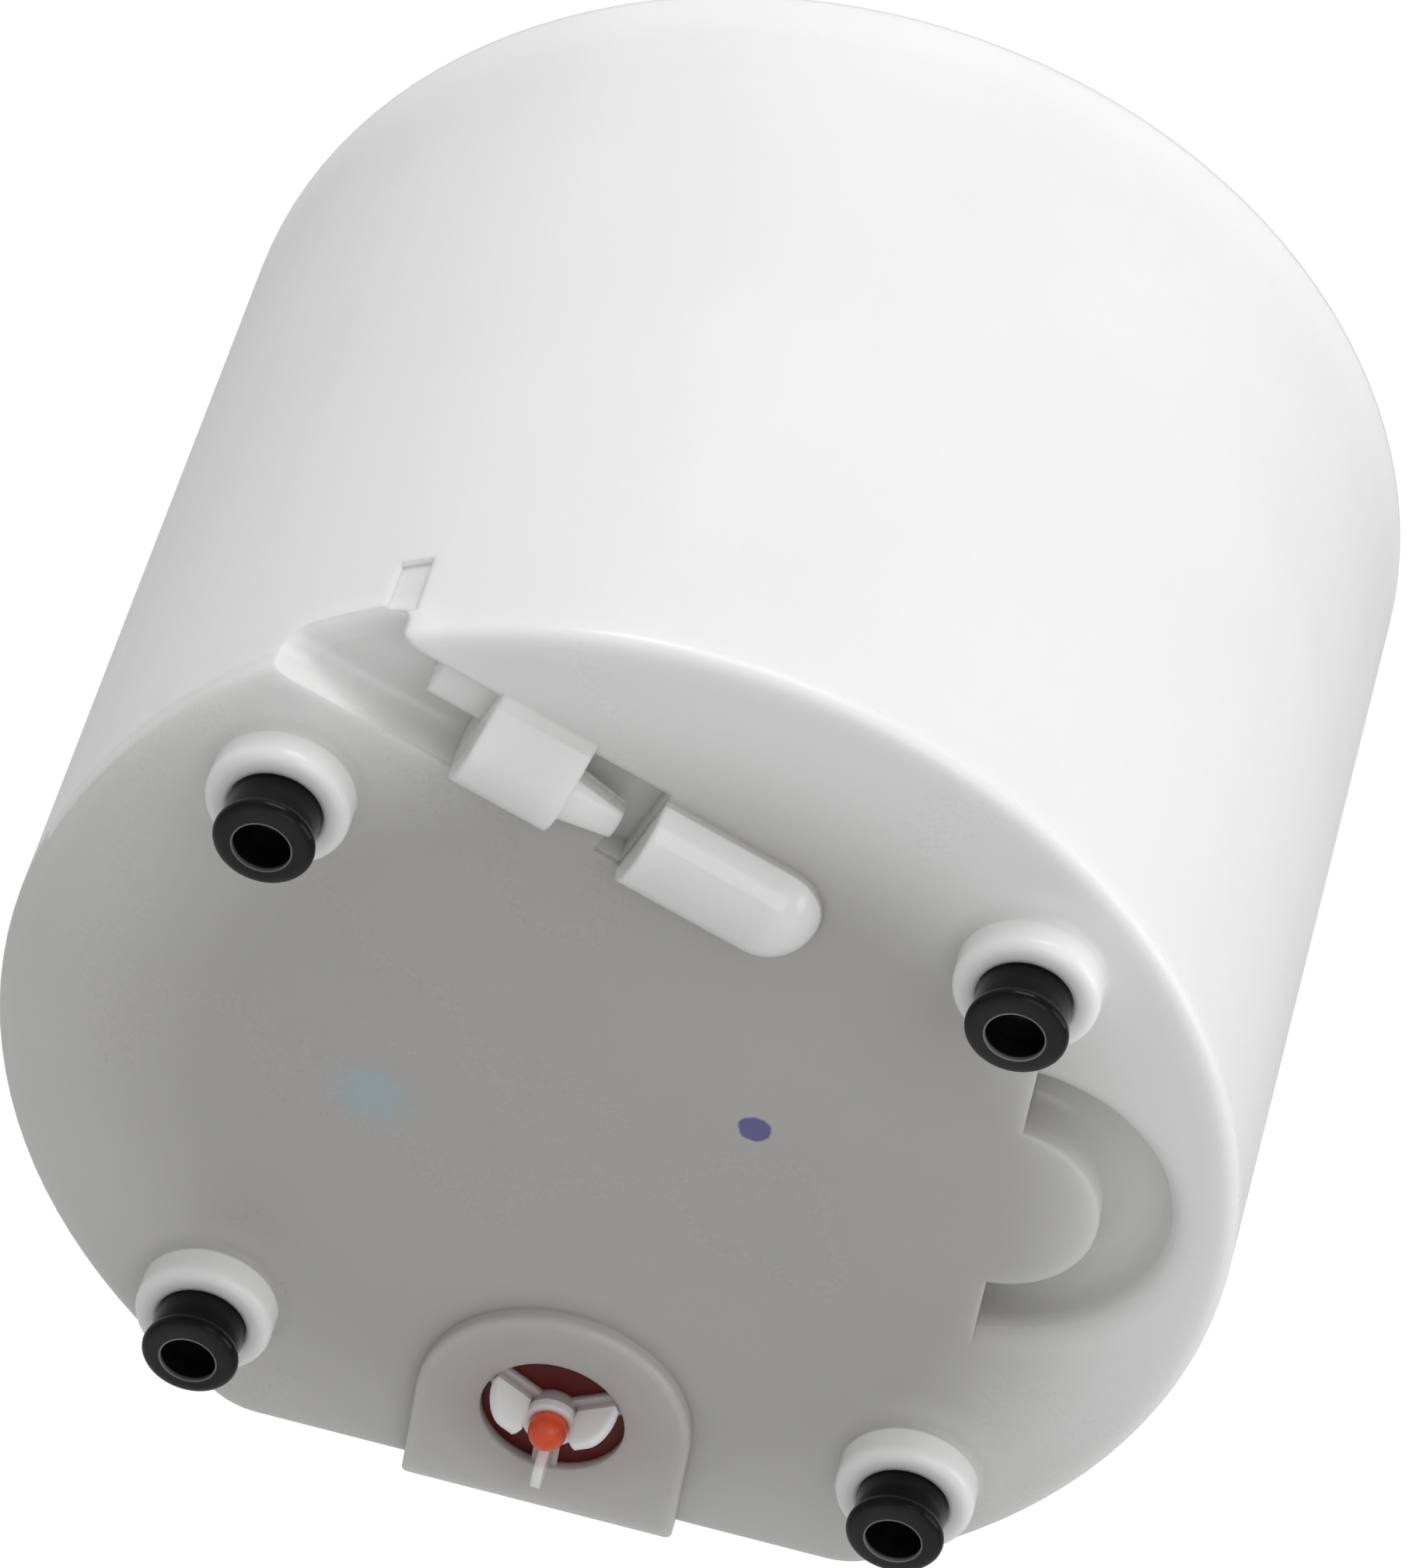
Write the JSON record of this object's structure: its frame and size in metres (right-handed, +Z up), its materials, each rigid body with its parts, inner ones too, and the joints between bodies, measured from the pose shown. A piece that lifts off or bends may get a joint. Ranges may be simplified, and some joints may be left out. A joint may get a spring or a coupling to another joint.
{
  "type": "removable water tank",
  "caption": "D-shaped removable water tank with a spring foot valve, rubber feet, level float, hinged filling flap and folding handle.",
  "frame": {"origin": "middle of the four rubber feet, on the plane that they stand on", "axes": "+Z up, +Y towards the flat back wall, +X to the right seen from the round front"},
  "size_m": [0.2274, 0.211, 0.2],
  "materials": {
    "tank_plastic": "translucent white moulded polypropylene, glossy wall and matt underside",
    "foot_rubber": "smooth black rubber with a soft gloss",
    "valve_silicone": "dark red silicone",
    "plunger_plastic": "orange-red acetal",
    "spring_steel": "stainless spring wire",
    "inner_plastic": "natural white plastic",
    "strainer_cloth": "fine woven nylon mesh",
    "float_plastic": "foamed ivory plastic",
    "magnet_ferrite": "sintered ferrite",
    "seal_silicone": "grey silicone",
    "pin_steel": "turned stainless steel"
  },
  "bodies": {
    "tank": {"tank_shell": "tank_plastic", "foot_front_left": "foot_rubber", "foot_front_right": "foot_rubber", "foot_back_left": "foot_rubber", "foot_back_right": "foot_rubber", "valve_spring": "spring_steel", "valve_guide": "inner_plastic", "strainer_frame": "inner_plastic", "strainer_mesh": "strainer_cloth", "float_post": "inner_plastic", "float_stop": "inner_plastic", "lid": "tank_plastic", "lid_seal": "seal_silicone", "flap_pin": "pin_steel", "pivot_pin_left": "pin_steel", "pivot_pin_right": "pin_steel"},
    "valve": {"valve_seal": "valve_silicone", "valve_pin": "plunger_plastic"},
    "float": {"float_body": "float_plastic", "float_cap": "float_plastic", "float_magnet": "magnet_ferrite"},
    "flap": {"fill_flap": "tank_plastic", "flap_seal": "seal_silicone"},
    "bail": {"handle": "tank_plastic"}
  },
  "joints": [
    {"name": "valve_press", "type": "slide", "parent": "tank", "child": "valve", "axis": [0, 0, 1], "range_m": [0, 0.004], "stiffness_N_per_m": 300, "springref_m": -0.006, "deforming": ["valve_spring"]},
    {"name": "float_rise", "type": "slide", "parent": "tank", "child": "float", "axis": [0, 0, 1], "range_m": [0, 0.032]},
    {"name": "flap_hinge", "type": "hinge", "parent": "tank", "child": "flap", "pos_m": [0, -0.0101, 0.1955], "axis": [-1, 0, 0], "range_deg": [0, 95]},
    {"name": "handle_swing", "type": "hinge", "parent": "tank", "child": "bail", "pos_m": [0, 0.0099, 0.1945], "axis": [-1, 0, 0], "range_deg": [0, 90]}
  ]
}
